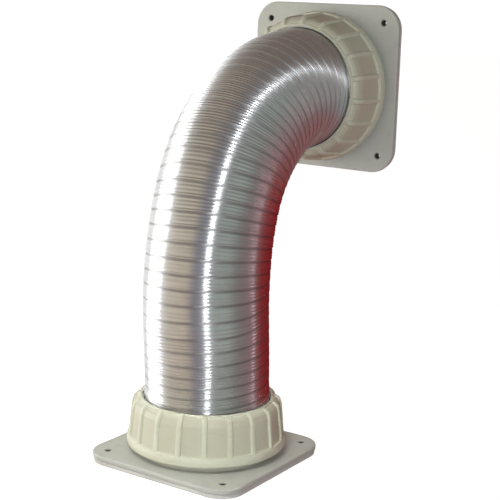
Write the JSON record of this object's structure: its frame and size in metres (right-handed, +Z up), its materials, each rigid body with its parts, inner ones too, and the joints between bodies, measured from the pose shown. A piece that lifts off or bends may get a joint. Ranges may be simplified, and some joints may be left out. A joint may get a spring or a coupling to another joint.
{
  "type": "flexible flue elbow",
  "caption": "Bend of flexible spiral-wound aluminium duct between two square wall plates, each end clamped by a ribbed ring nut.",
  "frame": {"origin": "centre of the lower gasket's underside, on the duct's axis", "axes": "+Z up out of the lower plate along the duct's foot, +X towards the upper plate, Y across the bend"},
  "size_m": [0.2913, 0.17, 0.435],
  "materials": {
    "plate_plastic": "off-white moulded plastic, slightly grainy",
    "nut_plastic": "cream moulded plastic, semi-gloss",
    "collar_plastic": "off-white moulded plastic",
    "gasket_foam": "closed-cell white foam",
    "seal_rubber": "soft black rubber",
    "washer_plastic": "slippery white plastic",
    "sleeve_plastic": "grey plastic",
    "duct_aluminium": "bright rolled aluminium strip, spiral-wound and finely corrugated"
  },
  "bodies": {
    "lower_end": {"lower_wall_plate": "plate_plastic", "lower_backing_gasket": "gasket_foam", "lower_threaded_collar": "collar_plastic", "lower_sealing_ring": "seal_rubber", "lower_support_sleeve": "sleeve_plastic", "duct_section_1": "duct_aluminium"},
    "lower_washer": {"lower_slip_washer": "washer_plastic"},
    "lower_nut": {"lower_ring_nut": "nut_plastic"},
    "duct_2": {"duct_section_2": "duct_aluminium"},
    "duct_3": {"duct_section_3": "duct_aluminium"},
    "duct_4": {"duct_section_4": "duct_aluminium"},
    "duct_5": {"duct_section_5": "duct_aluminium"},
    "duct_6": {"duct_section_6": "duct_aluminium"},
    "duct_7": {"duct_section_7": "duct_aluminium"},
    "upper_end": {"upper_wall_plate": "plate_plastic", "upper_backing_gasket": "gasket_foam", "upper_threaded_collar": "collar_plastic", "upper_sealing_ring": "seal_rubber", "upper_support_sleeve": "sleeve_plastic", "duct_section_8": "duct_aluminium"},
    "upper_washer": {"upper_slip_washer": "washer_plastic"},
    "upper_nut": {"upper_ring_nut": "nut_plastic"}
  },
  "joints": [
    {"name": "duct_bend_1", "type": "hinge", "parent": "lower_end", "child": "duct_2", "pos_m": [-0.06682, 0, 0.17236], "axis": [0, -1, 0], "range_deg": [-1, 12.8]},
    {"name": "duct_bend_2", "type": "hinge", "parent": "duct_2", "child": "duct_3", "pos_m": [-0.05604, 0, 0.24845], "axis": [0, -1, 0], "range_deg": [-1, 12.8]},
    {"name": "duct_bend_3", "type": "hinge", "parent": "duct_3", "child": "duct_4", "pos_m": [-0.03398, 0, 0.30621], "axis": [0, -1, 0], "range_deg": [-1, 12.8]},
    {"name": "duct_bend_4", "type": "hinge", "parent": "duct_4", "child": "duct_5", "pos_m": [-0.00635, 0, 0.34512], "axis": [0, -1, 0], "range_deg": [-1, 12.8]},
    {"name": "duct_bend_5", "type": "hinge", "parent": "duct_5", "child": "duct_6", "pos_m": [0.02968, 0, 0.37642], "axis": [0, -1, 0], "range_deg": [-1, 12.8]},
    {"name": "duct_bend_6", "type": "hinge", "parent": "duct_6", "child": "duct_7", "pos_m": [0.07208, 0, 0.39831], "axis": [0, -1, 0], "range_deg": [-1, 12.8]},
    {"name": "duct_bend_7", "type": "hinge", "parent": "duct_7", "child": "upper_end", "pos_m": [0.11846, 0, 0.40958], "axis": [0, -1, 0], "range_deg": [-1, 12.8]},
    {"name": "lower_washer_travel", "type": "slide", "parent": "lower_end", "child": "lower_washer", "axis": [0, 0, 1], "range_m": [0, 0.0101]},
    {"name": "lower_nut_turn", "type": "hinge", "parent": "lower_washer", "child": "lower_nut", "pos_m": [0, 0, 0.04], "axis": [0, 0, 1], "range_deg": [0, 450]},
    {"name": "upper_washer_travel", "type": "slide", "parent": "upper_end", "child": "upper_washer", "axis": [-1, 0, 0], "range_m": [0, 0.0101]},
    {"name": "upper_nut_turn", "type": "hinge", "parent": "upper_washer", "child": "upper_nut", "pos_m": [0.16632, 0, 0.35001], "axis": [-1, 0, 0], "range_deg": [0, 450]}
  ],
  "couplings": [
    {"joint": "duct_bend_2", "follows": "duct_bend_1", "ratio": 1},
    {"joint": "duct_bend_3", "follows": "duct_bend_1", "ratio": 1},
    {"joint": "duct_bend_4", "follows": "duct_bend_1", "ratio": 1},
    {"joint": "duct_bend_5", "follows": "duct_bend_1", "ratio": 1},
    {"joint": "duct_bend_6", "follows": "duct_bend_1", "ratio": 1},
    {"joint": "duct_bend_7", "follows": "duct_bend_1", "ratio": 1},
    {"joint": "lower_washer_travel", "follows": "lower_nut_turn", "m_per_rad": 0.0012732},
    {"joint": "upper_washer_travel", "follows": "upper_nut_turn", "m_per_rad": 0.0012732}
  ]
}
